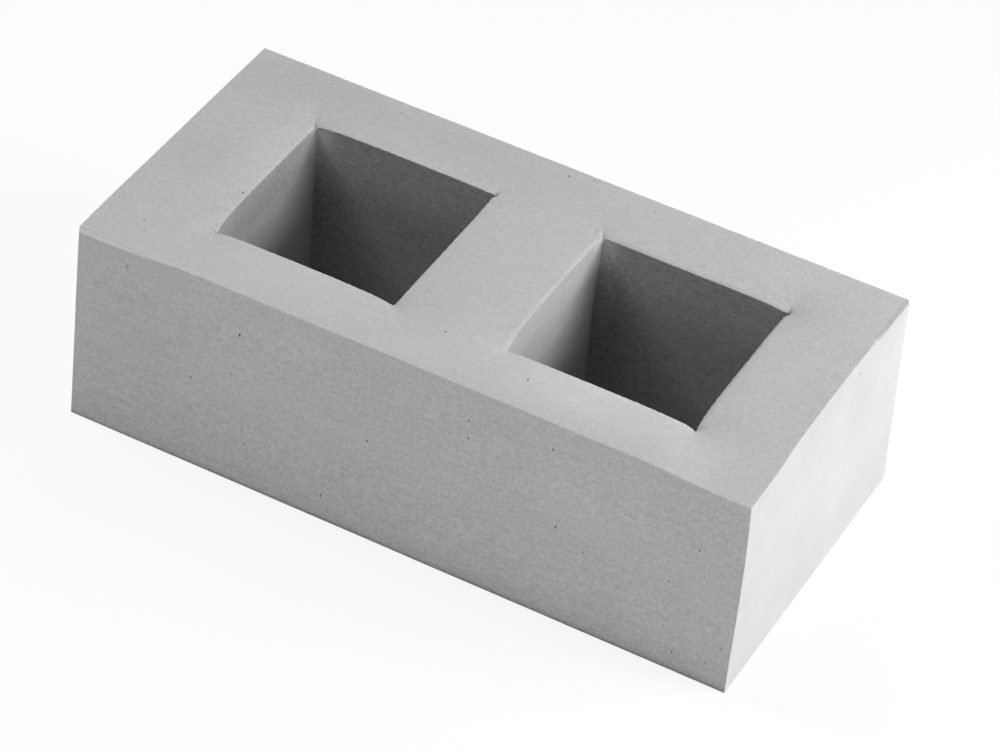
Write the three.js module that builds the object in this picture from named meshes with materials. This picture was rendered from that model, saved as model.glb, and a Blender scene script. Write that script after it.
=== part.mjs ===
// A hollow concrete block: one casting with two square cells through its height.
//
// Millimetres, +Z up. X runs along the length, Y from the front face (-Y) to the back face (+Y).
// The origin is the middle of the flat underside. The walls lean out towards the foot, as a casting
// leaves its mould. The top sags towards each cell, the mouth of a cell is pinched in and down at its
// corners, and the top corners of the block droop a little.

import * as THREE from 'three';

// ---- Overall size, taken half-way up the block ----
const LENGTH = 390;
const WIDTH = 190;
const HEIGHT = 125.7;

// ---- Walls, measured at the top ----
const LEFT_END_WALL = 57.9;
const RIGHT_END_WALL = 50.4;
const WEB = 62.3;
const FRONT_SHELL = 38.6;
const BACK_SHELL = 41.1;

// ---- Draft: how far each face comes out from the top to the foot ----
const END_DRAFT = 1.4;
const SIDE_DRAFT = 3.6;

// ---- Mouths of the cells ----
const SAG_DEPTH = 1.2;         // how far the top sags at the edge of a cell
const SAG_REACH = 15;          // and how far from the cell that fades
const LIP_WIDTH = 2.2;         // the edge of a mouth rolls over within this of the cell
const LEFT_LIP_DROP = 0.25;
const RIGHT_LIP_DROP = 0.55;
const PINCH_REACH = 11;        // how far from a cell's corner its pinch is felt along the top
const PINCH_DEPTH = 18;        // and how far down the cell
const NICK_REACH = 3;          // the tight fold in the middle of each pinch
const NICK_SHARE = 0.3;        // how much of a pinch's dip is in that fold
const LEFT_CELL_PINCHES = {    // inward: towards the cell along X; dip: down
  frontLeft: { inward: 2.2, dip: 2.4 },
  frontRight: { inward: 1.2, dip: 3.0 },
  backRight: { inward: 0.9, dip: 0.7 },
  backLeft: { inward: -0.7, dip: 2.5 },
};
const RIGHT_CELL_PINCHES = {
  frontLeft: { inward: 2.7, dip: 1.4 },
  frontRight: { inward: -0.8, dip: 2.6 },
  backRight: { inward: -0.2, dip: 2.4 },
  backLeft: { inward: 1.9, dip: 0 },
};

// ---- Top corners of the block that droop ----
// Along X and along Y, a droop is full up to the first distance from its corner and gone from the second.
const FRONT_LEFT_DROOP = { depth: 3.3, alongX: [16, 73], alongY: [0, 2.5] };
const FRONT_RIGHT_DROOP = { depth: 2.4, alongX: [19, 60], alongY: [27, 56] };
const BACK_RIGHT_DROOP = { depth: 2.5, alongX: [0, 2.5], alongY: [33, 53] };

// ---- Swelling of the right-hand end ----
const END_CROWN = 3;           // the top of the right end wall stands this proud half-way along it
const FRONT_CORNER_BELLY = 0.9; // the front right upright edge bows out by this
const BELLY_RISE = 1.5;        // 1 puts the middle of that bow half-way up, more puts it higher

// ---- Fineness of the surface ----
const STEPS = { endWall: 12, cell: 16, web: 14, shell: 10 };
const SQUEEZE = 0.85;          // 0 spaces the steps evenly, 1 crowds them into the edges
const OUTSIDE_LEVELS = [1, 0.92, 0.8, 0.65, 0.4, 0.18];  // shares of the height, from the top down
const CELL_LEVELS = 7;
const CELL_LEVELS_END = 0.4;   // the cell's levels lie in this share of its depth, crowded at the mouth

// ---- Worked out from the sizes above ----
const topLength = LENGTH - END_DRAFT;
const topWidth = WIDTH - SIDE_DRAFT;
const cellLength = (topLength - LEFT_END_WALL - RIGHT_END_WALL - WEB) / 2;
const cellFront = -topWidth / 2 + FRONT_SHELL;
const cellBack = topWidth / 2 - BACK_SHELL;
const leftCellStart = -topLength / 2 + LEFT_END_WALL;
const rightCellStart = leftCellStart + cellLength + WEB;
const leftCell = {
  left: leftCellStart,
  right: leftCellStart + cellLength,
  lipDrop: LEFT_LIP_DROP,
  pinches: LEFT_CELL_PINCHES,
};
const rightCell = {
  left: rightCellStart,
  right: rightCellStart + cellLength,
  lipDrop: RIGHT_LIP_DROP,
  pinches: RIGHT_CELL_PINCHES,
};
const cells = [leftCell, rightCell];

/** Positions from one edge to the next, closer together near both. */
function gradedStops(from, to, count) {
  const stops = [];
  for (let i = 0; i <= count; i += 1) {
    const share = i / count;
    const eased = share - (SQUEEZE * Math.sin(2 * Math.PI * share)) / (2 * Math.PI);
    stops.push(from + (to - from) * eased);
  }
  return stops;
}

/** Joins runs of stops that meet end to end, and says where each run begins. */
function joinStops(runs) {
  const stops = [runs[0][0]];
  const marks = [0];
  for (const run of runs) {
    stops.push(...run.slice(1));
    marks.push(stops.length - 1);
  }
  return { stops, marks };
}

const alongX = joinStops([
  gradedStops(-topLength / 2, leftCell.left, STEPS.endWall),
  gradedStops(leftCell.left, leftCell.right, STEPS.cell),
  gradedStops(leftCell.right, rightCell.left, STEPS.web),
  gradedStops(rightCell.left, rightCell.right, STEPS.cell),
  gradedStops(rightCell.right, topLength / 2, STEPS.endWall),
]);
const alongY = joinStops([
  gradedStops(-topWidth / 2, cellFront, STEPS.shell),
  gradedStops(cellFront, cellBack, STEPS.cell),
  gradedStops(cellBack, topWidth / 2, STEPS.shell),
]);

/** How far the top sags towards the cells at a point, with the rolled lip of each mouth. */
function sagAt(x, y) {
  let sag = 0;
  for (const { left, right, lipDrop } of cells) {
    const outX = Math.max(left - x, x - right, 0);
    const outY = Math.max(cellFront - y, y - cellBack, 0);
    const away = Math.hypot(outX, outY);
    sag += SAG_DEPTH * Math.exp(-away / SAG_REACH);
    sag += lipDrop * Math.max(0, 1 - away / LIP_WIDTH) ** 2;
  }
  return sag;
}

/** How the pinches at the mouths move a point of the top: x towards the cell, z down. */
function pinchAt(x, y) {
  const move = { x: 0, z: 0 };
  for (const { left, right, pinches } of cells) {
    const corners = [
      { at: [left, cellFront], side: 1, ...pinches.frontLeft },
      { at: [right, cellFront], side: -1, ...pinches.frontRight },
      { at: [right, cellBack], side: -1, ...pinches.backRight },
      { at: [left, cellBack], side: 1, ...pinches.backLeft },
    ];
    for (const { at, side, inward, dip } of corners) {
      const away = Math.hypot(x - at[0], y - at[1]);
      const pinch = Math.exp(-away / PINCH_REACH);
      const nick = Math.exp(-away / NICK_REACH);
      move.x += side * inward * pinch;
      move.z -= dip * ((1 - NICK_SHARE) * pinch + NICK_SHARE * nick);
    }
  }
  return move;
}

/** 1 up to the nearer distance, 0 from the farther one on, and smooth between them. */
function fade(distance, [near, far]) {
  const share = Math.min(Math.max((distance - near) / (far - near), 0), 1);
  return 1 - share * share * (3 - 2 * share);
}

/** How far one of the block's top corners droops at a point that lies fromX and fromY away from it. */
function droopAt(fromX, fromY, { depth, alongX: reachX, alongY: reachY }) {
  return depth * fade(fromX, reachX) * fade(fromY, reachY);
}

/** A point of the top face over the plan position (x, y). */
function topPoint(x, y) {
  const fromLeft = x + topLength / 2;
  const fromRight = topLength / 2 - x;
  const fromFront = y + topWidth / 2;
  const fromBack = topWidth / 2 - y;
  const droop = droopAt(fromLeft, fromFront, FRONT_LEFT_DROOP)
    + droopAt(fromRight, fromFront, FRONT_RIGHT_DROOP)
    + droopAt(fromRight, fromBack, BACK_RIGHT_DROOP);
  const onEndWall = Math.max(0, 1 - fromRight / RIGHT_END_WALL);
  const crown = END_CROWN * onEndWall * Math.sin((Math.PI * fromFront) / topWidth);
  const pinch = pinchAt(x, y);
  return new THREE.Vector3(x + pinch.x, y, HEIGHT + crown - droop - sagAt(x, y) + pinch.z);
}

/** A point of the outside walls, at a share of the height below the top's edge point (x, y). */
function outsidePoint(x, y, share) {
  const top = topPoint(x, y);
  const lean = 1 - share;
  const nearRight = (x / topLength + 0.5) ** 6;
  const nearFront = 0.5 - y / topWidth;
  const bow = Math.sin(Math.PI * share ** BELLY_RISE);
  const belly = FRONT_CORNER_BELLY * bow * nearRight * nearFront;
  return new THREE.Vector3(
    top.x * (1 + (lean * 2 * END_DRAFT) / topLength) + belly,
    top.y * (1 + (lean * 2 * SIDE_DRAFT) / topWidth),
    top.z * share,
  );
}

/** A point of a cell's walls, at a share of the height below the mouth's edge point (x, y). */
function cellPoint(x, y, share) {
  const top = topPoint(x, y);
  const below = top.z * (1 - share);
  const pinchLeft = Math.exp(-below / PINCH_DEPTH);
  return new THREE.Vector3(x + (top.x - x) * pinchLeft, y, top.z * share);
}

/** Collects triangles over shared vertices, and turns them into a geometry. */
class Skin {
  constructor() {
    this.positions = [];
    this.triangles = [];
    this.numbers = new Map();
  }

  vertex(point) {
    const key = point.toArray().map((value) => value.toFixed(4)).join(' ');
    if (!this.numbers.has(key)) {
      this.numbers.set(key, this.positions.length / 3);
      this.positions.push(point.x, point.y, point.z);
    }
    return this.numbers.get(key);
  }

  triangle(a, b, c) {
    this.triangles.push(this.vertex(a), this.vertex(b), this.vertex(c));
  }

  /** Four corners, counter-clockwise as seen from outside. */
  quad(a, b, c, d) {
    this.triangle(a, b, c);
    this.triangle(a, c, d);
  }

  geometry() {
    const geometry = new THREE.BufferGeometry();
    geometry.setAttribute('position', new THREE.Float32BufferAttribute(this.positions, 3));
    geometry.setIndex(this.triangles);
    geometry.computeVertexNormals();
    return geometry;
  }
}

/** Pairs of neighbouring marks from first to last, such as the two ends of a cell's side. */
function spans(marks, first, last) {
  return marks.slice(first, last).map((mark, i) => [mark, marks[first + i + 1]]);
}

/**
 * The plan positions round a rectangle whose corners are marks, counter-clockwise from its front left,
 * as one run of positions for each span between marks.
 */
function ringRuns(firstX, lastX, firstY, lastY) {
  const [xs, ys] = [alongX.stops, alongY.stops];
  const [left, right] = [xs[alongX.marks[firstX]], xs[alongX.marks[lastX]]];
  const [front, back] = [ys[alongY.marks[firstY]], ys[alongY.marks[lastY]]];
  const acrossX = (y) => spans(alongX.marks, firstX, lastX)
    .map(([from, to]) => xs.slice(from, to + 1).map((x) => [x, y]));
  const acrossY = (x) => spans(alongY.marks, firstY, lastY)
    .map(([from, to]) => ys.slice(from, to + 1).map((y) => [x, y]));
  const turned = (runs) => runs.map((run) => run.reverse()).reverse();
  return [...acrossX(front), ...acrossY(right), ...turned(acrossX(back)), ...turned(acrossY(left))];
}

/** Whether the panel between marks i and i + 1 along X, j and j + 1 along Y, is over a cell. */
function isCell(i, j) {
  return j === 1 && (i === 1 || i === 3);
}

/** The top face: a fine grid on every panel that isn't over a cell. */
function coverTop(skin) {
  spans(alongX.marks, 0, 5).forEach(([firstX, lastX], i) => {
    spans(alongY.marks, 0, 3).forEach(([firstY, lastY], j) => {
      if (isCell(i, j)) return;
      for (let x = firstX; x < lastX; x += 1) {
        for (let y = firstY; y < lastY; y += 1) {
          const corner = (dx, dy) => topPoint(alongX.stops[x + dx], alongY.stops[y + dy]);
          skin.quad(corner(0, 0), corner(1, 0), corner(1, 1), corner(0, 1));
        }
      }
    });
  });
}

/** Walls hung from a ring of runs: strips from level to level, then one fan down to each run's foot. */
function hangWalls(skin, runs, levels, pointAt, facesOut) {
  const put = (a, b, c) => (facesOut ? skin.triangle(a, b, c) : skin.triangle(a, c, b));
  for (const run of runs) {
    const rows = levels.map((share) => run.map((place) => pointAt(...place, share)));
    for (let k = 0; k + 1 < rows.length; k += 1) {
      const [upper, lower] = [rows[k], rows[k + 1]];
      for (let i = 0; i + 1 < run.length; i += 1) {
        put(lower[i], lower[i + 1], upper[i + 1]);
        put(lower[i], upper[i + 1], upper[i]);
      }
    }
    const lowest = rows.at(-1);
    const [footStart, footEnd] = [pointAt(...run[0], 0), pointAt(...run.at(-1), 0)];
    const middle = Math.floor(run.length / 2);
    for (let i = 0; i < middle; i += 1) put(footStart, lowest[i + 1], lowest[i]);
    for (let i = middle; i + 1 < lowest.length; i += 1) put(footEnd, lowest[i + 1], lowest[i]);
    put(footStart, footEnd, lowest[middle]);
  }
}

/** The flat underside: one square for each panel that isn't a cell's foot. */
function coverUnderside(skin) {
  const foot = (i, j) => {
    const onOutside = i === 0 || i === 5 || j === 0 || j === 3;
    const pointAt = onOutside ? outsidePoint : cellPoint;
    return pointAt(alongX.stops[alongX.marks[i]], alongY.stops[alongY.marks[j]], 0);
  };
  for (let i = 0; i < 5; i += 1) {
    for (let j = 0; j < 3; j += 1) {
      if (!isCell(i, j)) skin.quad(foot(i, j), foot(i, j + 1), foot(i + 1, j + 1), foot(i + 1, j));
    }
  }
}

function blockGeometry() {
  const cellLevels = [];
  for (let k = 0; k <= CELL_LEVELS; k += 1) {
    cellLevels.push(1 - CELL_LEVELS_END * (k / CELL_LEVELS) ** 2);
  }
  const skin = new Skin();
  coverTop(skin);
  hangWalls(skin, ringRuns(0, 5, 0, 3), OUTSIDE_LEVELS, outsidePoint, true);
  hangWalls(skin, ringRuns(1, 2, 1, 2), cellLevels, cellPoint, false);
  hangWalls(skin, ringRuns(3, 4, 1, 2), cellLevels, cellPoint, false);
  coverUnderside(skin);
  return skin.geometry();
}

const concrete = new THREE.MeshStandardMaterial({ color: 0xb4b4b4, roughness: 0.92, metalness: 0 });
const block = new THREE.Mesh(blockGeometry(), concrete);
block.name = 'concrete_block';

const group = new THREE.Group();
group.add(block);

export default group;
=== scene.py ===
"""Dresses the hollow concrete block: a fine mesh of the casting, its concrete and a small studio.

Lengths are in metres, in the block's own frame: X runs along its length, Y from the front face to the
back face, and Z up from the floor that it lies on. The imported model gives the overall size.
"""

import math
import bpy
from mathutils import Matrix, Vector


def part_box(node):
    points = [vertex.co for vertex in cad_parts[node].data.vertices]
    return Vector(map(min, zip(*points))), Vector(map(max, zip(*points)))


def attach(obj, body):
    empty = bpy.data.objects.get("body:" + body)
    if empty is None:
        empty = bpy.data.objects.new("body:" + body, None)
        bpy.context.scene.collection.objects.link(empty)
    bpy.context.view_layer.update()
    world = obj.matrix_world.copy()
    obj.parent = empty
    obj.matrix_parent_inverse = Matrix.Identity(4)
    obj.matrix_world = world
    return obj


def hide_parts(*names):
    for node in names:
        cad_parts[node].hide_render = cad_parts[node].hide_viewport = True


bl_info = {
    "name": "Hollow Concrete Block",
    "version": (1, 0, 0),
    "blender": (4, 5, 0),
    "location": "3D View > Sidebar > Block",
    "description": "Casts a hollow concrete block with pinched cell mouths, and sets a studio round it",
    "category": "Object",
}

from itertools import product

import bmesh
import bpy
import numpy as np
from mathutils import Matrix, Vector

MM = 0.001
CAD_NODE = "concrete_block"
SEED = 7

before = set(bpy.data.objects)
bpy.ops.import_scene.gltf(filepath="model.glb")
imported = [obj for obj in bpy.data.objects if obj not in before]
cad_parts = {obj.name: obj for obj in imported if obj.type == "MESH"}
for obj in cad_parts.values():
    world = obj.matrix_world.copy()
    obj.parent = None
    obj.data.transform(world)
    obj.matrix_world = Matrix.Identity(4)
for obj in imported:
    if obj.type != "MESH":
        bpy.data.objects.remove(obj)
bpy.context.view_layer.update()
LOW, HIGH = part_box(CAD_NODE)

# The faces come out by these drafts from the top to the foot, and the right end's top swells by the crown.
END_DRAFT = 1.4 * MM
SIDE_DRAFT = 3.6 * MM
END_CROWN = 3 * MM


# -------- sizes that a user would change


def number(name, description, default, **kind):
    """A property, without a unit unless its kind says so."""
    return bpy.props.FloatProperty(name=name, description=description, default=default, **kind)


def distance(name, description, default):
    """A length property, in metres."""
    return number(name, description, default, unit="LENGTH", precision=5)


def angle(name, description, degrees):
    """An angle property, given in degrees."""
    return number(name, description, math.radians(degrees), subtype="ANGLE")


def lengths(name, description, *millimetres):
    """A few lengths that belong together, given in millimetres."""
    default = [length * MM for length in millimetres]
    return bpy.props.FloatVectorProperty(
        name=name, description=description, default=default, size=len(default), unit="LENGTH", precision=5
    )


def grey(name, description, default):
    """A grey, as a colour."""
    return bpy.props.FloatVectorProperty(
        name=name, description=description, default=(default,) * 3, subtype="COLOR", min=0.0, max=1.0
    )


DROOP = "Depth of the droop, where it starts to fade and is gone along X, and the same along Y"
PINCH = "Pinch towards the cell along X, and down; radius in plan, or less than 0 for an outward point"


class BlockSizes(bpy.types.PropertyGroup):
    """Outside sizes and walls of the casting."""

    length: distance("Length", "Along X, half-way up", -2 * LOW.x - END_DRAFT)
    width: distance("Width", "Along Y, half-way up", -2 * LOW.y - SIDE_DRAFT)
    height: distance("Height", "Up to the flat of the top", HIGH.z - END_CROWN)
    left_end_wall: distance("Left end wall", "Thickness at the top", 57.9 * MM)
    right_end_wall: distance("Right end wall", "Thickness at the top", 50.4 * MM)
    web: distance("Web", "Thickness of the wall between the cells", 62.3 * MM)
    front_shell: distance("Front shell", "Thickness at the top", 38.6 * MM)
    back_shell: distance("Back shell", "Thickness at the top", 41.1 * MM)
    end_draft: distance("End draft", "How far the ends come out to their feet, both together", END_DRAFT)
    side_draft: distance("Side draft", "The same for the front and back faces", SIDE_DRAFT)
    end_crown: distance("End crown", "Swelling of the top along the right end", END_CROWN)
    corner_belly: distance("Corner belly", "Bow of the front right upright edge", 0.9 * MM)
    belly_rise: number("Belly rise", "1 puts the middle of that bow half-way up, more puts it higher", 1.5)
    front_left_droop: lengths("Front left droop", DROOP, 3.3, 16, 73, 0, 1.0)
    front_right_droop: lengths("Front right droop", DROOP, 2.4, 19, 60, 27, 56)
    back_right_droop: lengths("Back right droop", DROOP, 2.5, 0, 0.8, 33, 53)
    arris_wear: distance("Arris wear", "How far the outside edges are worn back", 0.08 * MM)
    arris_reach: distance("Arris reach", "How far from an edge its wear is felt", 0.35 * MM)
    edge_roughness: distance("Edge roughness", "Unevenness of the outside edges", 0.04 * MM)
    waviness: distance("Waviness", "How far the faces wander from true", 0.05 * MM)


class MouthSizes(bpy.types.PropertyGroup):
    """Shape of the cells' mouths."""

    sag_depth: distance("Sag depth", "How far the top sags at the edge of a cell", 1.2 * MM)
    sag_reach: distance("Sag reach", "How far from the cell the sag fades", 15 * MM)
    lip_width: distance("Lip width", "Width of the rolled lip round a mouth", 2.2 * MM)
    left_lip_drop: distance("Left lip drop", "How far the left cell's lip rolls down", 0.25 * MM)
    right_lip_drop: distance("Right lip drop", "How far the right cell's lip rolls down", 0.6 * MM)
    left_edge_drop: distance("Left edge drop", "The tighter roll on each mouth's left side", 0.5 * MM)
    left_edge_width: distance("Left edge width", "Width of that tighter roll", 1.5 * MM)
    lip_roughness: distance("Lip roughness", "Unevenness of the mouths' edges", 0.05 * MM)
    reach: distance("Reach", "How far from its corner a pinch is felt along the top", 11 * MM)
    depth: distance("Depth", "How far down the cell a pinch is felt", 18 * MM)
    fold_reach: distance("Fold reach", "Reach of the tight fold in the middle of a pinch", 3 * MM)
    fold_share: number("Fold share", "How much of a pinch's dip is in its tight fold", 0.3)
    left_front_left: lengths("Left cell, front left", PINCH, 2.2, 2.4, 0.6)
    left_front_right: lengths("Left cell, front right", PINCH, 1.2, 3.0, 3.0)
    left_back_right: lengths("Left cell, back right", PINCH, 0.9, 0.7, -3.2)
    left_back_left: lengths("Left cell, back left", PINCH, -0.7, 2.5, 0.6)
    right_front_left: lengths("Right cell, front left", PINCH, 2.7, 1.4, 0.8)
    right_front_right: lengths("Right cell, front right", PINCH, -0.8, 2.6, 0.6)
    right_back_right: lengths("Right cell, back right", PINCH, -0.2, 2.4, -3.6)
    right_back_left: lengths("Right cell, back left", PINCH, 1.9, 0.0, 0.6)
    crease_depth: number("Crease depth", "1 for creases and ridges as deep as listed, 0 for none", 1.0)


class ConcreteFinish(bpy.types.PropertyGroup):
    """Colour and fine relief of the concrete, with painted shade in the cells, pits and pinholes and at the
    foot.
    """

    colour: grey("Colour", "Grey of the dry concrete", 0.46)
    # Painted shade: the colour is darkened inside the cells, where shade falls.
    painted_cell_shade: number("Cell shade", "How much darker the concrete is inside the cells", 0.15)
    mottle: number("Mottle", "Strength of the broad light and dark patches", 0.1)
    grain: number("Grain", "Strength of the fine grain in the colour", 0.24)
    coarse_grain: number("Coarse grain", "How much stronger it is on the long faces", 0.45)
    # Painted shade: the pinholes are darkened in the colour, standing in for the shade inside them.
    painted_fleck_shade: number("Fleck", "How dark the pinholes are", 0.2)
    fleck_size: distance("Fleck size", "Radius of the largest pinholes", 0.65 * MM)
    fleck_spacing: distance("Fleck spacing", "Typical distance between pinholes, in the solid", 4.4 * MM)
    drag: number("Drag", "Strength of the fine lines that the mould dragged across the faces", 0.12)
    ripple: number("Ripple", "Strength of the ripple in the cells", 0.55)
    relief: distance("Relief", "Height of the grain, the drag lines and the ripple", 0.05 * MM)
    # Painted shade: the long faces are darkened at their foot, where they meet the floor.
    painted_foot_shade: number("Foot shade", "How much darker the long faces are at their foot", 0.6)
    roughness: number("Roughness", "Roughness of the surface", 0.9)
    # Painted shade: the colour is darkened inside the pits, where shade falls.
    painted_pit_shade: number("Pit shade", "How much darker the inside of a pit is", 0.6)
    pit_radius: distance("Pit radius", "Radius of the largest open pits", 0.4 * MM)
    pit_count: bpy.props.IntProperty(
        name="Pit count", description="Open pits all over the block, besides the placed ones", default=60
    )


class StudioSettings(bpy.types.PropertyGroup):
    """Camera and lamps."""

    azimuth: angle("Azimuth", "Camera's way round the block", 25.07)
    elevation: angle("Elevation", "Camera's height as an angle", 40.67)
    roll: angle("Roll", "Camera's turn about its own axis", 5.42)
    camera_distance: distance("Camera distance", "From the camera to the point it looks at", 2.293)
    aim: lengths("Aim", "Point that the camera looks at", 2.4, 14.3, 40.1)
    focal_length: number("Focal length", "In millimetres, on a sensor 36 mm wide", 155.35)
    low_right_box: number("Low right softbox", "Power in watts", 5.0)
    high_right_box: number("High right softbox", "Power in watts", 7.2)
    overhead_left_box: number("Overhead left softbox", "Power in watts", 11.7)
    overhead_back_box: number("Overhead back softbox", "Power in watts", 2.2)
    front_box: number("Front softbox", "Power in watts", 9.1)
    front_fill_box: number("Front fill softbox", "Power in watts", 1.3)
    sky: number("Sky", "Strength of the light from all round", 0.10)
    floor_colour: grey("Floor colour", "Pale floor under the block", 0.25)


# Pits that are big enough to see one by one, in millimetres: two places along the face, and the radius.
FRONT_PITS = (
    (-96, 99, 1.0), (86, 109, 0.75), (39, 94, 0.8), (92, 61, 0.75), (164, 12, 0.7), (-18, 65, 0.75),
    (109, 52, 0.5), (-99, 71, 0.7), (-123, 58, 0.7), (171, 84, 0.5), (38, 105, 0.6), (190, 28, 0.45),
    (157, 57, 0.55), (-164, 113, 0.55), (133, 21, 0.55), (-42, 16, 0.5), (-141, 34, 0.5), (47, 100, 0.5),
    (-89, 29, 0.4), (183, 14, 0.4), (-75, 92, 0.45), (66, 56, 0.45), (-74, 35, 0.45), (158, 96, 0.4),
)
TOP_PITS = (
    (5, -61, 0.75), (58, -71, 0.7), (-139, -21, 0.55), (-2, 86, 0.5), (-169, -70, 0.45), (-136, -58, 0.4),
    (50, 84, 0.45), (156, 28, 0.4), (11, 90, 0.4), (23, -8, 0.35), (161, -28, 0.35), (-103, 84, 0.35),
)
RIGHT_PITS = ((34, 119, 0.7), (-22, 93, 0.4), (11, 101, 0.35), (9, 66, 0.35))

# These patches are partly the concrete's own tone and partly painted light and shade.
# Soft light and dark patches, in millimetres: two places along the face, two reaches, and how much lighter.
TOP_TONE_AND_PAINTED_LIGHT = (
    (90, -66, 50, 17, 0.16), (20, -78, 150, 20, 0.04), (-80, -64, 30, 10, 0.04), (-148, 10, 12, 50, 0.04),
    (-145, 76, 70, 26, -0.09), (-40, 78, 50, 20, -0.04), (-192, 0, 22, 90, -0.06), (141, 65, 22, 12, -0.03),
    (163, -10, 16, 50, 0.05), (-180, -92.8, 38, 0.65, 0.38), (193.75, 92, 0.65, 18, -0.48),
    (193.75, 64, 0.65, 18, -0.48), (-162, -10, 22, 80, -0.055), (90, -58, 60, 3.5, 0.07),
    (-70, -58, 45, 3.5, 0.05),
)
FRONT_TONE_AND_PAINTED_LIGHT = (
    (-192, 60, 18, 90, 0.06), (-120, 112, 90, 30, 0.04), (-90, 70, 26, 22, 0.03), (104, 80, 26, 16, 0.03),
    (115, 0, 90, 13, -0.04), (10, 22, 130, 35, -0.03), (-165, 0, 30, 5, 0.12),
)
RIGHT_TONE_AND_PAINTED_LIGHT = (
    (10, 128, 110, 40, -0.06), (60, 90, 50, 45, -0.04), (10, 126, 110, 12, -0.04), (92, 121, 24, 6, -0.05),
    (-85, 118, 12, 8, -0.05),
)
# Painted light and shade on the cells' walls, in the same columns: along the left walls and up, and along
# the back walls and up.
LEFT_CELL_PAINTED_LIGHT = ((5, 116, 60, 22, -0.18), (25, 62, 18, 14, 0.2), (53, 113, 5, 14, 0.5))
RIGHT_CELL_PAINTED_LIGHT = ((0, 108, 60, 16, 0.14), (54, 110, 7, 18, 0.55))
CELL_BACK_PAINTED_LIGHT = (
    (-133, 60, 16, 40, -0.2), (44, 62, 18, 40, -0.3), (-132, 117, 7, 9, 0.5), (38, 117, 7, 10, 0.45),
)

# Creases (and, with a minus sign, ridges) that run out of the mouths' corners, in millimetres: the cell,
# where it starts from the cell's corner, how far it runs along X and Y, its depth and its half width.
CREASES = (
    ("left", "back left", (0, 0), (-5.5, 6), 1.6, 0.8),
    ("left", "back left", (-2, 2), (-15, 26), 0.4, 2.6),
    ("left", "back left", (-3.5, 1), (-3.5, 5), -0.6, 1.2),
    ("left", "back right", (0, 0), (0.5, 5.6), 2.0, 0.9),
    ("left", "front left", (0, 0), (-4.4, 0), 0.9, 0.7),
    ("left", "front left", (0, 0), (-12, 0.5), 0.6, 1.0),
    ("right", "back left", (0, 0), (-3, 6.3), 1.2, 0.8),
    ("right", "back left", (-1, 2), (-6, 14), 0.3, 2.6),
    ("right", "back left", (-3, 1), (-2.5, 5), -0.35, 1.1),
    ("right", "back right", (0, 0), (0.5, 5.6), 1.8, 0.8),
    ("right", "front right", (0, 0), (4.5, 3), 1.3, 1.0),
)


# -------- shape of the casting


def spaced_stops(marks, spacing, fineness=2000):
    """Stops from the first mark to the last, about as far apart as spacing says at each place, with one
    on every mark; also gives the number of the stop on each mark. Fineness counts the steps of the sum."""
    stops, numbers = [marks[0]], [0]
    for start, end in zip(marks, marks[1:]):
        fine = np.linspace(start, end, fineness + 1)
        crowding = 1 / spacing((fine[1:] + fine[:-1]) / 2)
        reached = np.concatenate([[0], np.cumsum(crowding) * (end - start) / fineness])
        count = math.ceil(reached[-1])
        stops += np.interp(np.linspace(0, reached[-1], count + 1)[1:], reached, fine).tolist()
        numbers.append(len(stops) - 1)
    return np.array(stops), numbers


def soft_step(place, start, end):
    """0 before the start, 1 beyond the end, and a soft rise between them."""
    share = np.clip((place - start) / (end - start), 0, 1)
    return share**2 * (3 - 2 * share)


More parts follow.
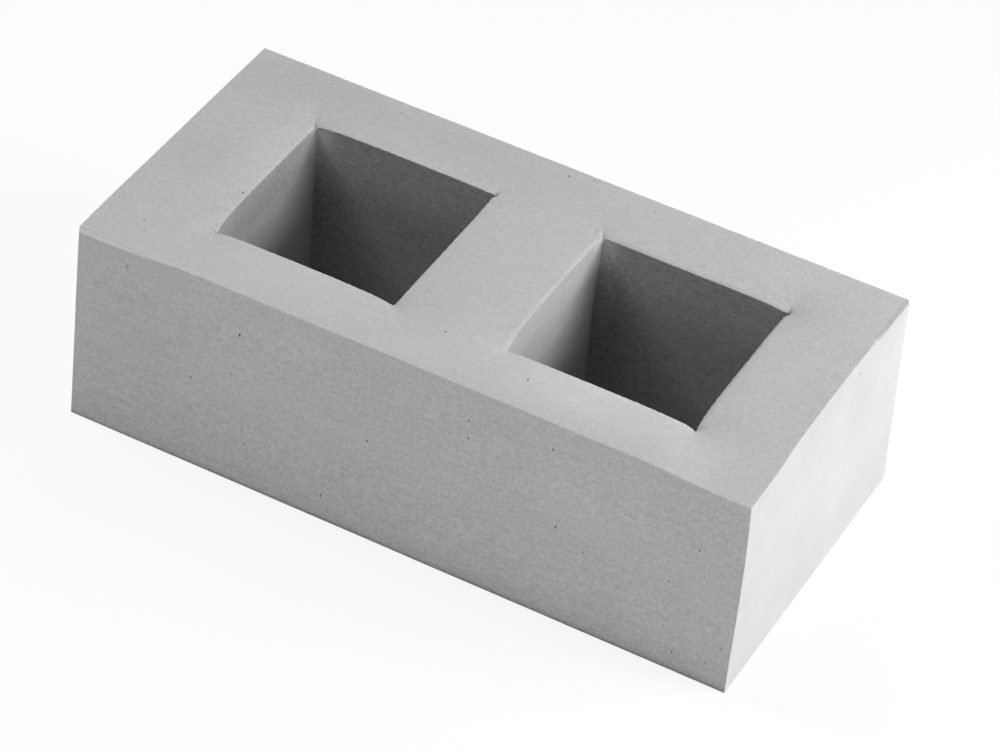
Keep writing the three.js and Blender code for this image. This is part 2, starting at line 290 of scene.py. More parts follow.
class Casting:
    """The block's faces, as points worked out from its sizes."""

    # Spacing of the mesh: at an outside edge, at a mouth's edge and its creases, and where it is widest.
    EDGE_STEP, MOUTH_STEP, WIDE_STEP = 0.2 * MM, 0.7 * MM, 5 * MM
    # How fast the spacing widens with distance, and how far the creases keep it narrow.
    WIDENING = 0.35
    CREASE_REACH = 8 * MM
    # Depths of the mesh's levels down the outside walls (and up from their foot) and down the cells.
    OUTSIDE_DEPTHS = (0.2, 0.5, 0.9, 1.5, 2.3, 3.5, 5.5, 9, 15, 24, 37, 50)
    FOOT_HEIGHTS = (64, 52, 40, 28, 18, 11, 6.5, 4, 2.5, 1.5, 0.9, 0.4, 0)
    CELL_DEPTHS = (0.3, 0.7, 1.2, 2, 3.2, 5, 8, 13, 20, 30, 44, 62, 84, 106)
    # How far into its faces an edge crumbles, and how rough the foot is beside the top's edges.
    CRUMBLE_REACH = 1.2 * MM
    FOOT_CRUMBLE = 0.3
    # Shares of a mouth corner's radius: what it cuts off along X and Y, and how far away that is felt.
    RADIUS_CUT, RADIUS_REACH = 0.3, 0.5
    # Signs of X and Y from each corner of a mouth towards its cell.
    INTO_CELL = {"front_left": (1, 1), "front_right": (-1, 1), "back_right": (-1, -1), "back_left": (1, -1)}
    # Powers: how a crease fades along its run, and how the belly gathers towards the right end.
    CREASE_FADE, BELLY_GATHER = 1.5, 6

    def __init__(self, sizes, mouths):
        self.sizes = sizes
        self.mouths = mouths
        self.top_length = sizes.length - sizes.end_draft
        self.top_width = sizes.width - sizes.side_draft
        half_x = self.top_length / 2
        half_y = self.top_width / 2
        walls = sizes.left_end_wall + sizes.right_end_wall + sizes.web
        cell = (self.top_length - walls) / 2
        left = -half_x + sizes.left_end_wall
        right = left + cell + sizes.web
        self.cells = ((left, left + cell), (right, right + cell))
        self.front, self.back = -half_y + sizes.front_shell, half_y - sizes.back_shell
        self.stops_x, self.marks_x = self.stops((-half_x, *self.cells[0], *self.cells[1], half_x))
        self.stops_y, self.marks_y = self.stops((-half_y, self.front, self.back, half_y))
        depths = np.array(self.OUTSIDE_DEPTHS) * MM
        heights = np.array(self.FOOT_HEIGHTS) * MM
        self.outside_levels = np.concatenate([1 - depths / sizes.height, heights / sizes.height])
        self.cell_levels = np.append(1 - np.array(self.CELL_DEPTHS) * MM / sizes.height, 0)

    def stops(self, marks):
        """The mesh's stops along X or Y; the first and last mark are outside edges, the rest are cells'."""

        def spacing(place):
            edge = self.EDGE_STEP + self.WIDENING * np.minimum(place - marks[0], marks[-1] - place)
            away = np.min([np.abs(place - mark) for mark in marks[1:-1]], axis=0)
            mouth = self.MOUTH_STEP + self.WIDENING * np.maximum(0, away - self.CREASE_REACH)
            in_cell = np.zeros_like(place, dtype=bool)
            for start, end in zip(marks[1:-1:2], marks[2:-1:2]):
                in_cell |= (place > start) & (place < end)
            return np.where(in_cell, self.MOUTH_STEP, np.minimum(np.minimum(edge, mouth), self.WIDE_STEP))

        return spaced_stops(marks, spacing)

    def corner(self, cell, name):
        """Place of a corner of the left or the right cell's mouth."""
        left, right = self.cells[cell == "right"]
        return left if "left" in name else right, self.front if "front" in name else self.back

    def pinch(self, x, y):
        """How the pinched and rounded corners move points of the top: along X, along Y, and down."""
        m = self.mouths
        shift_x, shift_y, sink = np.zeros_like(x), np.zeros_like(x), np.zeros_like(x)
        for cell, (corner, (into_x, into_y)) in product(("left", "right"), self.INTO_CELL.items()):
            at_x, at_y = self.corner(cell, corner)
            inward, dip, radius = getattr(m, f"{cell}_{corner}")
            away = np.hypot(x - at_x, y - at_y)
            wide = np.exp(-away / m.reach)
            fold = np.exp(-away / m.fold_reach)
            cut = self.RADIUS_CUT * radius * np.exp(-((away / (self.RADIUS_REACH * radius)) ** 2))
            shift_x += into_x * (inward * wide + cut)
            shift_y += into_y * cut
            sink += dip * ((1 - m.fold_share) * wide + m.fold_share * fold)
        return shift_x, shift_y, sink

    def mouth_gap(self, x, y, cell):
        """Distance along the top to a cell."""
        left, right = cell
        out_x = np.maximum(np.maximum(left - x, x - right), 0)
        out_y = np.maximum(np.maximum(self.front - y, y - self.back), 0)
        return np.hypot(out_x, out_y)

    def sag(self, x, y):
        """How far the top sags towards the cells, with the rolled lips round their mouths."""
        m = self.mouths
        drop = np.zeros_like(x)
        for cell, lip_drop in zip(self.cells, (m.left_lip_drop, m.right_lip_drop)):
            away = self.mouth_gap(x, y, cell)
            drop += m.sag_depth * np.exp(-away / m.sag_reach)
            drop += lip_drop * np.maximum(0, 1 - away / m.lip_width) ** 2
            on_left = (x <= cell[0]) & (y > self.front) & (y < self.back)
            drop += on_left * m.left_edge_drop * np.maximum(0, 1 - away / m.left_edge_width) ** 2
        return drop

    def creases(self, x, y):
        """Depth of the creases that run out of the mouths' corners; less than 0 on a ridge."""
        depth = np.zeros_like(x)
        for cell, corner, start, run, deepest, half_width in CREASES:
            at_x, at_y = self.corner(cell, corner)
            from_x, from_y = x - at_x - start[0] * MM, y - at_y - start[1] * MM
            length = math.hypot(*run) * MM
            along = (from_x * run[0] + from_y * run[1]) * MM / length
            across = (from_x * run[1] - from_y * run[0]) * MM / length
            away = np.hypot(across, np.minimum(along, 0)) / (half_width * MM)
            left_to_run = np.clip(1 - along / length, 0, 1)
            depth += deepest * MM * left_to_run**self.CREASE_FADE * np.exp(-(away**2))
        return depth * self.mouths.crease_depth

    @staticmethod
    def droop(from_x, from_y, droop):
        """How far one of the block's top corners droops, from the distances to it."""
        depth, near_x, far_x, near_y, far_y = droop
        return depth * (1 - soft_step(from_x, near_x, far_x)) * (1 - soft_step(from_y, near_y, far_y))

    def edge_gaps(self, x, y):
        """Distances along the top to the nearer end and to the nearer side of the block."""
        return self.top_length / 2 - np.abs(x), self.top_width / 2 - np.abs(y)

    def worn(self, x, y, gap_z):
        """How far the worn outside edges stand back along X, Y and Z; gap_z is the way to a level edge."""
        wear, reach = self.sizes.arris_wear, self.sizes.arris_reach
        gap_x, gap_y = self.edge_gaps(x, y)
        near_x, near_y, near_z = (np.exp(-gap / reach) for gap in (gap_x, gap_y, gap_z))
        back_x = np.sign(x) * wear * near_x * np.maximum(near_y, near_z)
        back_y = np.sign(y) * wear * near_y * np.maximum(near_x, near_z)
        return back_x, back_y, wear * near_z * np.maximum(near_x, near_y)

    def top(self, x, y):
        """Points of the top face over plan positions."""
        s = self.sizes
        from_left = x + self.top_length / 2
        from_right = self.top_length / 2 - x
        from_front = y + self.top_width / 2
        from_back = self.top_width / 2 - y
        droop = (
            self.droop(from_left, from_front, s.front_left_droop)
            + self.droop(from_right, from_front, s.front_right_droop)
            + self.droop(from_right, from_back, s.back_right_droop)
        )
        on_end_wall = np.maximum(0, 1 - from_right / s.right_end_wall)
        crown = s.end_crown * on_end_wall * np.sin(np.pi * from_front / self.top_width)
        shift_x, shift_y, sink = self.pinch(x, y)
        back_x, back_y, back_z = self.worn(x, y, np.zeros_like(x))
        z = s.height + crown - droop - sink - self.sag(x, y) - self.creases(x, y) - back_z
        return np.stack([x + shift_x - back_x, y + shift_y - back_y, z], axis=-1)

    def outside(self, x, y, share):
        """Points of the outside walls, at shares of the height of the top's edge."""
        s = self.sizes
        top_z = self.top(x, y)[..., 2]
        shift, _, _ = self.pinch(x, y)
        lean = 1 - share
        near_right = (x / self.top_length + 0.5) ** self.BELLY_GATHER
        near_front = 0.5 - y / self.top_width
        belly = s.corner_belly * np.sin(np.pi * share**s.belly_rise) * near_right * near_front
        below = top_z * lean
        felt = np.exp(-below / self.mouths.depth)
        back_x, back_y, _ = self.worn(x, y, np.minimum(below, top_z - below))
        out_x = (x + shift * felt) * (1 + lean * 2 * s.end_draft / self.top_length) + belly
        out_y = y * (1 + lean * 2 * s.side_draft / self.top_width)
        return np.stack([out_x - back_x, out_y - back_y, top_z * share], axis=-1)

    def cell_wall(self, x, y, share):
        """Points of a cell's walls, at shares of the height of the mouth's edge."""
        top_z = self.top(x, y)[..., 2]
        shift_x, shift_y, _ = self.pinch(x, y)
        felt = np.exp(-top_z * (1 - share) / self.mouths.depth)
        return np.stack([x + shift_x * felt, y + shift_y * felt, top_z * share], axis=-1)

    def crumble(self, x, y, depth):
        """How rough the casting is at plan positions and depths: most at its edges."""
        gap_x, gap_y = self.edge_gaps(x, y)
        upright_edge = np.hypot(gap_x, gap_y)
        level_edge = np.hypot(np.minimum(gap_x, gap_y), np.minimum(depth, self.sizes.height - depth))
        outer = np.minimum(upright_edge, level_edge)
        rough = self.sizes.edge_roughness * np.exp(-outer / self.CRUMBLE_REACH)
        rough *= np.where(depth > self.sizes.height / 2, self.FOOT_CRUMBLE, 1)
        for cell in self.cells:
            away = np.hypot(self.mouth_gap(x, y, cell), depth)
            rough = np.maximum(rough, self.mouths.lip_roughness * np.exp(-away / self.CRUMBLE_REACH))
        return rough

    def ring(self, first_x, last_x, first_y, last_y):
        """Numbers of the stops round a rectangle between marks, counter-clockwise, back to its start."""
        start_i, end_i = self.marks_x[first_x], self.marks_x[last_x]
        start_j, end_j = self.marks_y[first_y], self.marks_y[last_y]
        along = np.arange(start_i, end_i)
        up = np.arange(start_j, end_j)
        i = [*along, *(end_i + 0 * up), *(along[::-1] + 1), *(start_i + 0 * up), start_i]
        j = [*(start_j + 0 * along), *up, *(end_j + 0 * along), *(up[::-1] + 1), start_j]
        return np.array(i), np.array(j)


# -------- mesh of the casting


# Painted shade at the foot of the long faces, where they meet the floor, in three parts: reach, power that
# it fades by, and share.
PAINTED_FOOT_SHADES = ((50 * MM, 1, 0.2), (8 * MM, 1, 0.23), (1.9 * MM, 2, 0.57))
# Waviness and crumbling: how many waves, the shortest and the longest; and height of the still foot.
LONG_WAVES = (24, 30 * MM, 110 * MM)
SHORT_WAVES = (64, 1.5 * MM, 5 * MM)
STILL_HEIGHT = 15 * MM
# Places nearer than this are the same, and edges sharper than this aren't smoothed over.
TOUCH = 0.01 * MM
SHARP_ANGLE = math.radians(32)


def patch_tone(patches, across, up):
    """How much lighter the soft patches of a face make it: its own tone and painted light and shade."""
    tone = np.zeros_like(across)
    for at_across, at_up, reach_across, reach_up, lighter in patches:
        away = ((across / MM - at_across) / reach_across) ** 2 + ((up / MM - at_up) / reach_up) ** 2
        tone += lighter * np.exp(-away)
    return tone


def painted_foot_shading(height):
    """How much painted shade the foot of a long face gets at heights."""
    return sum(share * np.exp(-((height / reach) ** power)) for reach, power, share in PAINTED_FOOT_SHADES)


class Skin:
    """Collects points and faces of the casting."""

    # Kinds of face: whether it is upright, and whether it is in a cell.
    TOP, OUTSIDE, CELL = (0, 0), (1, 0), (1, 1)
    # Coarseness of the grain: 0 on the top, 1 on the long faces, and these on the others.
    END_COARSENESS, CELL_COARSENESS = -1.7, 0.15
    # How rippled the left and right walls of a cell are, beside its front and back walls.
    SIDE_RIPPLE = 0.2
    # What each point holds for the concrete, and what each face holds.
    MARKS = ("patch", "coarse", "rippled")
    FACE_MARKS = ("upright", "in_cell", "in_pit")

    def __init__(self, casting, painted_foot_shade):
        self.casting = casting
        self.painted_foot_shade = painted_foot_shade
        self.points = np.empty((0, 3))
        self.crumble = np.empty(0)
        self.marks = np.empty((0, len(self.MARKS)))
        self.faces = np.empty((0, 4), int)
        self.kinds = np.empty((0, 2), int)
        # The grids of point numbers and of face numbers, and each face's grid and place in it.
        self.grids = []
        self.places = np.empty((0, 3), int)

    def add_points(self, points, crumble, *marks):
        """Adds a grid of points, and gives the grid of their numbers."""
        numbers = len(self.points) + np.arange(crumble.size).reshape(crumble.shape)
        self.points = np.concatenate([self.points, points.reshape(-1, 3)])
        self.crumble = np.concatenate([self.crumble, crumble.reshape(-1)])
        self.marks = np.concatenate([self.marks, np.stack(marks, axis=-1).reshape(-1, len(marks))])
        return numbers

    def add_faces(self, numbers, kind, keep=None):
        """Four-sided faces over a grid of point numbers."""
        corners = (numbers[:-1, :-1], numbers[1:, :-1], numbers[1:, 1:], numbers[:-1, 1:])
        keep = np.ones(corners[0].shape, dtype=bool) if keep is None else keep
        i, j = np.nonzero(keep)
        order = np.full(keep.shape, -1)
        order[i, j] = len(self.faces) + np.arange(len(i))
        self.places = np.concatenate([self.places, np.column_stack([len(self.grids) + 0 * i, i, j])])
        self.grids.append((numbers, order))
        self.faces = np.concatenate([self.faces, np.stack(corners, axis=-1)[i, j]])
        self.kinds = np.concatenate([self.kinds, np.tile(kind, (len(i), 1))])

    def add_top(self):
        """The top face, open over the cells; gives the grid of its point numbers."""
        casting = self.casting
        x, y = np.meshgrid(casting.stops_x, casting.stops_y, indexing="ij")
        tone = patch_tone(TOP_TONE_AND_PAINTED_LIGHT, x, y)
        top = self.add_points(casting.top(x, y), casting.crumble(x, y, 0 * x), tone, 0 * x, 0 * x)
        middle_x = (x[:-1, :-1] + x[1:, 1:]) / 2
        middle_y = (y[:-1, :-1] + y[1:, 1:]) / 2
        solid = [casting.mouth_gap(middle_x, middle_y, cell) > 0 for cell in casting.cells]
        self.add_faces(top, self.TOP, keep=solid[0] & solid[1])
        return top

    def add_wall(self, top, ring, levels, place, kind):
        """A wall that hangs from a ring of the top's points."""
        casting = self.casting
        i, j = ring
        share, x = np.meshgrid(levels, casting.stops_x[i[:-1]], indexing="ij")
        _, y = np.meshgrid(levels, casting.stops_y[j[:-1]], indexing="ij")
        points = place(x, y, share)
        z = points[..., 2]
        depth = casting.sizes.height * (1 - share)
        tone, rippled = np.zeros_like(x), np.zeros_like(x)
        if kind == self.OUTSIDE:
            # Patches of tone and painted light and shade on the front and the right end.
            tone += patch_tone(FRONT_TONE_AND_PAINTED_LIGHT, x, z) * (y <= casting.stops_y[0])
            tone += patch_tone(RIGHT_TONE_AND_PAINTED_LIGHT, y, z) * (x >= casting.stops_x[-1])
            on_long = (y <= casting.stops_y[0]) | (y >= casting.stops_y[-1])
            # Painted shade at the foot of the long faces, where they meet the floor.
            tone -= self.painted_foot_shade * painted_foot_shading(z) * on_long
            coarse = np.where(on_long, 1.0, self.END_COARSENESS)
        else:
            # Painted light and shade on the cells' left and back walls.
            for patches, cell in zip((LEFT_CELL_PAINTED_LIGHT, RIGHT_CELL_PAINTED_LIGHT), casting.cells):
                tone += patch_tone(patches, y, z) * (np.abs(x - cell[0]) < TOUCH)
            on_back = y >= casting.stops_y[casting.marks_y[2]]
            tone += patch_tone(CELL_BACK_PAINTED_LIGHT, x, z) * on_back
            coarse = np.full_like(x, self.CELL_COARSENESS)
            on_front = y <= casting.stops_y[casting.marks_y[1]]
            rippled = np.where(on_back | on_front, 1.0, self.SIDE_RIPPLE)
        lower = self.add_points(points, casting.crumble(x, y, depth), tone, coarse, rippled)
        lower = np.concatenate([lower, lower[:, :1]], axis=1)
        numbers = np.concatenate([top[i, j][None], lower])
        self.add_faces(numbers if kind == self.OUTSIDE else numbers[:, ::-1], kind)


def cast_skin(casting, painted_foot_shade):
    """The whole surface of the casting, apart from its flat underside."""
    skin = Skin(casting, painted_foot_shade)
    top = skin.add_top()
    # The marks along X are an end, the sides of each cell and an end; along Y, the front to the back.
    skin.add_wall(top, casting.ring(0, 5, 0, 3), casting.outside_levels, casting.outside, Skin.OUTSIDE)
    for first in (1, 3):
        ring = casting.ring(first, first + 1, 1, 2)
        skin.add_wall(top, ring, casting.cell_levels, casting.cell_wall, Skin.CELL)
    return skin


def waves(points, draw, count, shortest, longest):
    """A sum of waves in all directions, as a push of about 1 along each axis."""
    push = np.zeros_like(points)
    for _ in range(count):
        wavelength = draw.uniform(shortest, longest)
        heading = draw.normal(size=3)
        heading /= np.linalg.norm(heading)
        phase = points @ heading * (2 * np.pi / wavelength) + draw.uniform(0, 2 * np.pi)
        push += np.sin(phase)[:, None] * draw.normal(size=3)
    return push * math.sqrt(2 / count)


def weather(skin, waviness, draw):
    """Moves the points along long soft waves and crumbles the edges, and leaves the underside flat."""
    points = skin.points
    push = waviness * waves(points, draw, *LONG_WAVES)
    push += skin.crumble[:, None] * waves(points, draw, *SHORT_WAVES)
    push[:, 2] *= np.clip(points[:, 2] / STILL_HEIGHT, 0, 1)
    skin.points = points + push


# -------- pits


class Pits:
    """Small open pits, each set into a block of the skin's faces."""

    CORNERS = 12
    # Rings of a pit below its rim: share of the radius, and depth as a share of the radius.
    STEP_IN, STEP_DOWN, BOTTOM = 0.72, 0.9, 1.3
    # A pit takes up at most this share of the half width of its block.
    ROOM = 0.8
    # The faces of a block look the same way within this cosine.
    LEVEL = 0.97
    # Faces on one side of the block lie beyond this share of the way there.
    NEAR_SIDE = 0.9
    # Scattered pits: the smallest as a share of the largest, and a power that makes most of them small.
    SMALLEST, FAVOUR_SMALL = 0.45, 3
    # The rim: way to its first corner in degrees, and its unevenness in shares of the radius.
    FIRST_CORNER, RIM_SPREAD = 225, (0.8, 1.1)

    def __init__(self, skin, draw):
        self.skin = skin
        self.draw = draw
        corners = skin.points[skin.faces]
        self.middles = corners.mean(axis=1)
        self.halves = np.ptp(corners, axis=1) / 2
        normals = np.cross(corners[:, 2] - corners[:, 0], corners[:, 3] - corners[:, 1])
        self.areas = np.linalg.norm(normals, axis=1) / 2
        self.normals = normals / (2 * self.areas[:, None])
        self.free = np.ones(len(corners), dtype=bool)
        self.pits = []

    def face_at(self, spot, axes, side):
        """The face that holds a spot on one side of the block; side is an axis and its sign."""
        axis, sign = side
        reach = np.abs(self.skin.points[:, axis]).max()
        near_side = self.middles[:, axis] * sign > reach * self.NEAR_SIDE
        away = np.abs(self.middles[:, axes] - spot) / (self.halves[:, axes] + TOUCH)
        return int(np.argmin(np.where(near_side, away.max(axis=1), np.inf)))

    def span(self, line, at, middle, radius):
        """First and last point of a line of the grid that leave room for a radius on both sides."""
        roomy = np.linalg.norm(self.skin.points[line] - middle, axis=1) >= radius / self.ROOM
        before, after = np.nonzero(roomy[: at + 1])[0], np.nonzero(roomy[at + 1 :])[0]
        return (before[-1], at + 1 + after[0]) if len(before) and len(after) else None

    def take(self, face, middle, radius):
        """Takes the block of faces that a pit needs, where they are free and level."""
        grid, i, j = self.skin.places[face]
        numbers, faces = self.skin.grids[grid]
        across = self.span(numbers[:, j], i, middle, radius)
        along = self.span(numbers[i], j, middle, radius)
        if not across or not along:
            return
        block = faces[slice(*across), slice(*along)].ravel()
        if block.min() < 0 or not self.free[block].all():
            return
        if (self.normals[block] @ self.normals[face]).min() < self.LEVEL:
            return
        self.free[block] = False
        block_points = numbers[across[0] : across[1] + 1, along[0] : along[1] + 1]
        sides = (block_points[:, 0], block_points[-1], block_points[::-1, -1], block_points[0, ::-1])
        self.pits.append((face, sides, middle, radius))

    def place(self, spots, axes, side):
        """Pits at chosen spots, given in millimetres."""
        for across, up, radius in spots:
            spot = np.array([across, up]) * MM
            face = self.face_at(spot, axes, side)
            middle = self.middles[face].copy()
            middle[axes] = spot
            self.take(face, middle, radius * MM)

    def scatter(self, count, largest):
        """Pits here and there, over all the faces."""
        for face in self.draw.choice(len(self.areas), count, replace=False, p=self.areas / self.areas.sum()):
            share = self.SMALLEST + (1 - self.SMALLEST) * self.draw.random() ** self.FAVOUR_SMALL
            self.take(int(face), self.middles[face], largest * share)

    def sink(self, face, sides, middle, radius):
        """Faces of one pit, and of what is left of the block that it is in."""
        points = self.skin.points
        a, b, c, d = points[[side[0] for side in sides]]
        across = b - a + c - d
        across /= np.linalg.norm(across)
        outward = np.cross(across, d - a + c - b)
        outward /= np.linalg.norm(outward)
        along = np.cross(outward, across)
        count = self.CORNERS
        turn = np.radians(self.FIRST_CORNER + np.arange(count) * 360 / count)[:, None]
        spread = radius * self.draw.uniform(*self.RIM_SPREAD, (count, 1))
        rim = middle + spread * (np.cos(turn) * across + np.sin(turn) * along)
        inner = middle + (rim - middle) * self.STEP_IN - outward * radius * self.STEP_DOWN
        bottom = middle - outward * radius * self.BOTTOM
        first = len(points)
        per_side = count // 4
        border = []
        for k, side in enumerate(sides):
            arc = [first + (k * per_side + per_side - step) % count for step in range(per_side + 1)]
            border.append([*side.tolist(), *arc])
        hollow = []
        for k in range(count):
            n = (k + 1) % count
            hollow.append([first + k, first + n, first + count + n, first + count + k])
            hollow.append([first + count + k, first + count + n, first + 2 * count])
        self.skin.points = np.concatenate([points, rim, inner, bottom[None]])
        marks = np.tile(self.skin.marks[sides[0][0]], (2 * count + 1, 1))
        self.skin.marks = np.concatenate([self.skin.marks, marks])
        return border, hollow

    def dig(self):
        """All faces of the skin with the pits in them, with their kinds, and whether each is in a pit."""
        faces = self.skin.faces[self.free].tolist()
        kinds = self.skin.kinds[self.free].tolist()
        in_pit = [0] * len(faces)
        for face, sides, middle, radius in self.pits:
            border, hollow = self.sink(face, sides, middle, radius)
            faces += border + hollow
            kinds += [self.skin.kinds[face].tolist()] * len(border + hollow)
            in_pit += [0] * len(border) + [1] * len(hollow)
        return faces, np.column_stack([kinds, in_pit])


def mesh_of_block(scene):
    """The block's mesh, with what its concrete needs to know at each face and corner."""
    finish = scene.concrete_finish
    draw = np.random.default_rng(SEED)
    casting = Casting(scene.block_sizes, scene.mouth_sizes)
    skin = cast_skin(casting, finish.painted_foot_shade)
    weather(skin, scene.block_sizes.waviness, draw)
    pits = Pits(skin, draw)
    pits.place(FRONT_PITS, [0, 2], side=(1, -1))
    pits.place(RIGHT_PITS, [1, 2], side=(0, 1))
    pits.place(TOP_PITS, [0, 1], side=(2, 1))
    pits.scatter(finish.pit_count, finish.pit_radius)
    faces, marks = pits.dig()

    corners = np.concatenate(faces)
    used, numbers = np.unique(corners, return_inverse=True)
    ends = np.cumsum([len(face) for face in faces])
    faces = [part.tolist() for part in np.split(numbers, ends[:-1])]
    mesh = bpy.data.meshes.new("block")
    mesh.from_pydata(skin.points[used].tolist(), [], faces)
    held = (("FACE", Skin.FACE_MARKS, marks), ("CORNER", Skin.MARKS, skin.marks[corners]))
    for domain, names, values in held:
        for name, column in zip(names, values.T):
            attribute = mesh.attributes.new(name, "FLOAT", domain)
            attribute.data.foreach_set("value", column.astype(np.float32))
    close_underside(mesh)
    mesh.shade_smooth()
    mesh.set_sharp_from_angle(angle=SHARP_ANGLE)
    return mesh


def close_underside(mesh):
    """Fills the flat underside between the foot of the outside walls and the feet of the cells."""
    shell = bmesh.new()
    shell.from_mesh(mesh)
    feet = [edge for edge in shell.edges if edge.is_boundary]
    bmesh.ops.triangle_fill(shell, use_beauty=True, use_dissolve=False, edges=feet, normal=(0, 0, -1))
    shell.to_mesh(mesh)
    shell.free()


# -------- shader expressions


class Value:
    """A socket whose arithmetic adds Math nodes."""

    def __init__(self, nodes, socket):
        self.nodes = nodes
        self.socket = socket

    def other(self, name):
        """Another output of the same node."""
        return Value(self.nodes, self.socket.node.outputs[name])

    def _math(self, operation, first, second):
        return self.nodes.add("Math", {0: first, 1: second}, operation=operation)

    def __add__(self, other):
        return self._math("ADD", self, other)

    __radd__ = __add__

    def __sub__(self, other):
        return self._math("SUBTRACT", self, other)

    def __rsub__(self, other):
        return self._math("SUBTRACT", other, self)

    def __mul__(self, other):
        return self._math("MULTIPLY", self, other)

    __rmul__ = __mul__


class Nodes:
    """Adds the nodes of one material or world."""

    def __init__(self, owner):
        owner.use_nodes = True
        self.tree = owner.node_tree
        self.tree.nodes.clear()

    def add(self, kind, inputs=None, output=0, **settings):
        """A node of a kind: its settings are set first, then the values or links of its sockets."""
        node = self.tree.nodes.new("ShaderNode" + kind)
        for name, value in settings.items():
            setattr(node, name, value)
        for name, value in (inputs or {}).items():
            socket = node.inputs[name]
            if isinstance(value, Value):
                self.tree.links.new(value.socket, socket)
            else:
                socket.default_value = value
        return Value(self, node.outputs[output]) if node.outputs else None


class ConcreteNodes(Nodes):
    """Patterns in the solid of the concrete, with sizes in metres."""

    # Radius of the smallest pinholes beside the largest, and the share of a radius that is fully dark.
    SMALLEST_FLECK, FLECK_CORE = 0.4, 0.1

    def __init__(self, material):
        super().__init__(material)
        self.place = self.add("TexCoord", output="Object")

    def mark(self, name):
        """A value that the mesh holds at its faces or corners."""
        return self.add("Attribute", output="Fac", attribute_name=name)

    def scaled(self, size, stretch=(1.0, 1.0, 1.0)):
        """The place in the solid, with a size as its unit, stretched along the axes."""
        scale = tuple(1.0 / size / along for along in stretch)
        return self.add("VectorMath", {0: self.place, 1: scale}, operation="MULTIPLY")

    def noise(self, size, detail, stretch=(1.0, 1.0, 1.0)):
        """Noise about zero, with features of a size."""
        inputs = {"Vector": self.scaled(size, stretch), "Scale": 1.0, "Detail": detail}
        return self.add("TexNoise", inputs) - 0.5

    def layers(self, layers):
        """Noises added up, each with its size, its detail and its weight."""
        first, *others = (weight * self.noise(size, detail) for size, detail, weight in layers)
        return sum(others, first)

    def flecks(self, spacing, largest):
        """Small round spots of many sizes and strengths, from 0 to 1."""
        cells = {"Vector": self.scaled(spacing), "Scale": 1.0}
        away = self.add("TexVoronoi", cells, "Distance")
        chance = self.add("SeparateColor", {"Color": away.other("Color")})
        radius = (self.SMALLEST_FLECK + (1 - self.SMALLEST_FLECK) * chance) * (largest / spacing)
        core = self.FLECK_CORE * radius
        edge = {"Value": away, "From Min": core, "From Max": radius, "To Min": 1.0, "To Max": 0.0}
        spots = self.add("MapRange", edge, interpolation_type="SMOOTHSTEP")
        return spots * chance.other("Green")


# The mottle's and the grain's layers: size, detail and weight.
MOTTLE_LAYERS = ((38 * MM, 3.0, 1.0), (9 * MM, 2.0, 0.5))
GRAIN_LAYERS = ((4.5 * MM, 1.0, 0.3), (1.9 * MM, 1.0, 1.15), (0.9 * MM, 1.0, 0.75))
# The drag lines and the ripple: size, detail, and how far they are stretched along X, Y and Z.
DRAG_LINES = (1.6 * MM, 2.0, (18.0, 18.0, 1.0))
CELL_RIPPLE = (1.1 * MM, 1.0, (2.4, 2.4, 1.0))
# Where the grain is coarse, the mottle is this much weaker, and the lines and pinholes this much stronger.
CALMER, BOLDER = 0.35, 0.5
# Relief of the lines, the ripple and the pinholes beside the grain's, and the grain's part in the roughness.
DRAG_HEIGHT, RIPPLE_HEIGHT, FLECK_DEPTH, GRAIN_ROUGHNESS = 0.5, 1.5, 2.0, 0.15


def build_concrete(finish):
    """Fine-grained cast concrete: soft mottle, grain, pinholes, drag lines, a ripple in the cells, and
    painted light and shade.
    """
    material = bpy.data.materials.new("cast_concrete")
    nodes = ConcreteNodes(material)
    upright, in_cell, in_pit = (nodes.mark(name) for name in Skin.FACE_MARKS)
    patch, coarse, rippled = (nodes.mark(name) for name in Skin.MARKS)
    bolder = 1.0 + BOLDER * coarse
    mottle = nodes.layers(MOTTLE_LAYERS) * (1.0 - CALMER * coarse)
    grain = nodes.layers(GRAIN_LAYERS) * (1.0 + finish.coarse_grain * coarse)
    drag = nodes.noise(*DRAG_LINES) * upright * bolder
    ripple = nodes.noise(*CELL_RIPPLE) * rippled
    flecks = nodes.flecks(finish.fleck_spacing, finish.fleck_size) * bolder
    # The tone holds painted light and shade: in the patches, at the foot, in the pinholes, and inside the
    # cells and the pits.
    tone = (
        1.0
        + patch
        + finish.mottle * mottle
        + finish.grain * grain
        + finish.drag * drag
        + finish.ripple * ripple
        - finish.painted_fleck_shade * flecks
        - finish.painted_cell_shade * in_cell
        - finish.painted_pit_shade * in_pit
    )
    colour = nodes.add("VectorMath", {0: tuple(finish.colour), "Scale": tone}, operation="SCALE")
    height = grain + DRAG_HEIGHT * drag + RIPPLE_HEIGHT * ripple - FLECK_DEPTH * flecks
    relief = finish.relief * height
    sockets = {
        "Base Color": colour,
        "Roughness": finish.roughness + GRAIN_ROUGHNESS * grain,
        "Specular IOR Level": 0.3,
        "Normal": nodes.add("Bump", {"Strength": 1.0, "Distance": 1.0, "Height": relief}),
    }
    nodes.add("OutputMaterial", {"Surface": nodes.add("BsdfPrincipled", sockets)})
    return material


# -------- studio


# Where each softbox hangs, and its width and height; the studio's setting of the same name is its power.
SOFTBOXES = {
    "low_right_box": ((1.0, 0.05, 0.17), (0.3, 0.3)),
    "high_right_box": ((0.87, 0.27, 0.5), (0.5, 0.3)),
    "overhead_left_box": ((-0.77, -0.06, 1.3), (0.4, 0.4)),
    "overhead_back_box": ((-0.35, 0.5, 1.3), (0.4, 0.4)),
    "front_box": ((0.3, -1.3, 0.07), (1.4, 0.11)),
    "front_fill_box": ((0.1, -1.25, 0.46), (0.8, 0.28)),
}
LAMP_AIM = (0.0, 0.0, 0.07)
WHITE = (1.0, 1.0, 1.0, 1.0)


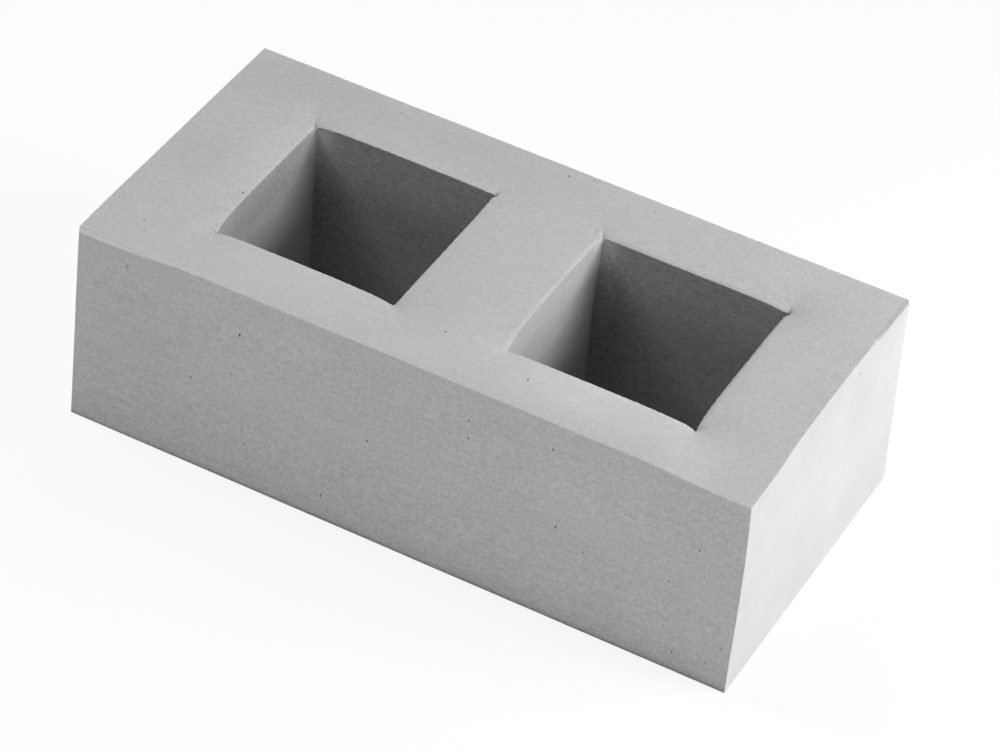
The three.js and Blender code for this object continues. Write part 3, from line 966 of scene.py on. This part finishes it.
def hang_softbox(scene, name, place, size, power):
    """A rectangular area lamp that faces the block."""
    data = bpy.data.lights.new(name, "AREA")
    data.shape = "RECTANGLE"
    data.size, data.size_y = size
    data.energy = power
    lamp = bpy.data.objects.new(name, data)
    lamp.location = place
    lamp.rotation_mode = "QUATERNION"
    lamp.rotation_quaternion = (Vector(LAMP_AIM) - Vector(place)).to_track_quat("-Z", "Y")
    scene.collection.objects.link(lamp)


def stand_camera(scene, studio):
    """The camera, from its angles round the point that it looks at."""
    level = math.cos(studio.elevation)
    back = Vector(
        (math.sin(studio.azimuth) * level, -math.cos(studio.azimuth) * level, math.sin(studio.elevation))
    )
    data = bpy.data.cameras.new("camera")
    data.sensor_width = 36.0
    data.lens = studio.focal_length
    data.clip_end = 50.0
    camera = bpy.data.objects.new("camera", data)
    turned = (-back).to_track_quat("-Z", "Y").to_matrix() @ Matrix.Rotation(studio.roll, 3, "Z")
    place = Vector(studio.aim) + back * studio.camera_distance
    camera.matrix_world = Matrix.Translation(place) @ turned.to_4x4()
    scene.collection.objects.link(camera)
    scene.camera = camera


def background_rays(nodes):
    """1 for rays that see the background: from the camera, and through glossy and clear surfaces."""
    rays = nodes.add("LightPath", output="Is Camera Ray")
    other_rays = rays.other("Is Glossy Ray") + rays.other("Is Transmission Ray")
    return nodes.add("Math", {0: rays, 1: other_rays}, operation="ADD", use_clamp=True)


def lay_floor(scene, studio, half=6.0, gap=0.05 * MM, seen_as_white=0.85):
    """A plain pale floor, a hair under the block, that reads as white and keeps the block's shadow."""
    corners = [(x * half, y * half, -gap) for x, y in ((-1, -1), (1, -1), (1, 1), (-1, 1))]
    mesh = bpy.data.meshes.new("floor")
    mesh.from_pydata(corners, [], [(0, 1, 2, 3)])
    material = bpy.data.materials.new("pale_floor")
    nodes = Nodes(material)
    paint = nodes.add("BsdfDiffuse", {"Color": (*studio.floor_colour, 1.0)})
    white = nodes.add("BsdfDiffuse", {"Color": (0.9, 0.9, 0.9, 1.0)})
    glow = nodes.add("Emission", {"Color": WHITE, "Strength": 1.0})
    seen = nodes.add("MixShader", {"Fac": seen_as_white, 1: white, 2: glow})
    surface = nodes.add("MixShader", {"Fac": background_rays(nodes), 1: paint, 2: seen})
    nodes.add("OutputMaterial", {"Surface": surface})
    mesh.materials.append(material)
    floor = bpy.data.objects.new("floor", mesh)
    scene.collection.objects.link(floor)


def light_world(scene, studio):
    """Soft light from all round, seen as white."""
    world = bpy.data.worlds.new("studio")
    nodes = Nodes(world)
    strength = background_rays(nodes) * (1.0 - studio.sky) + studio.sky
    sky = nodes.add("Background", {"Color": WHITE, "Strength": strength})
    nodes.add("OutputWorld", {"Surface": sky})
    scene.world = world


# -------- operators, panel and running


class CastBlock(bpy.types.Operator):
    """Build the block's fine mesh and its concrete in place of the plain casting"""

    bl_idname = "block.cast_block"
    bl_label = "Cast the block"

    def execute(self, context):
        scene = context.scene
        mesh = mesh_of_block(scene)
        mesh.materials.append(build_concrete(scene.concrete_finish))
        block = bpy.data.objects.new("block", mesh)
        scene.collection.objects.link(block)
        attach(block, "root")
        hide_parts(CAD_NODE)
        return {"FINISHED"}


class SetStudio(bpy.types.Operator):
    """Set the floor, the softboxes and the camera round the block"""

    bl_idname = "block.set_studio"
    bl_label = "Set the studio"

    def execute(self, context):
        scene = context.scene
        studio = scene.studio_settings
        scene.view_settings.view_transform = "Standard"
        lay_floor(scene, studio)
        light_world(scene, studio)
        for name, (place, size) in SOFTBOXES.items():
            hang_softbox(scene, name, place, size, getattr(studio, name))
        stand_camera(scene, studio)
        return {"FINISHED"}


class BlockPanel(bpy.types.Panel):
    """Sizes, finish and studio of the block"""

    bl_idname = "BLOCK_PT_panel"
    bl_label = "Hollow concrete block"
    bl_space_type = "VIEW_3D"
    bl_region_type = "UI"
    bl_category = "Block"

    def draw(self, context):
        for group_name in GROUPS:
            group = getattr(context.scene, group_name)
            box = self.layout.box()
            for name in type(group).__annotations__:
                box.prop(group, name)
        self.layout.operator(CastBlock.bl_idname)
        self.layout.operator(SetStudio.bl_idname)


GROUPS = {
    "block_sizes": BlockSizes,
    "mouth_sizes": MouthSizes,
    "concrete_finish": ConcreteFinish,
    "studio_settings": StudioSettings,
}
CLASSES = (*GROUPS.values(), CastBlock, SetStudio, BlockPanel)


def register():
    for cls in CLASSES:
        bpy.utils.register_class(cls)
    for name, group in GROUPS.items():
        setattr(bpy.types.Scene, name, bpy.props.PointerProperty(type=group))


def unregister():
    for name in GROUPS:
        delattr(bpy.types.Scene, name)
    for cls in reversed(CLASSES):
        bpy.utils.unregister_class(cls)


def main():
    register()
    bpy.ops.block.cast_block()
    bpy.ops.block.set_studio()


if __name__ == "__main__":
    main()
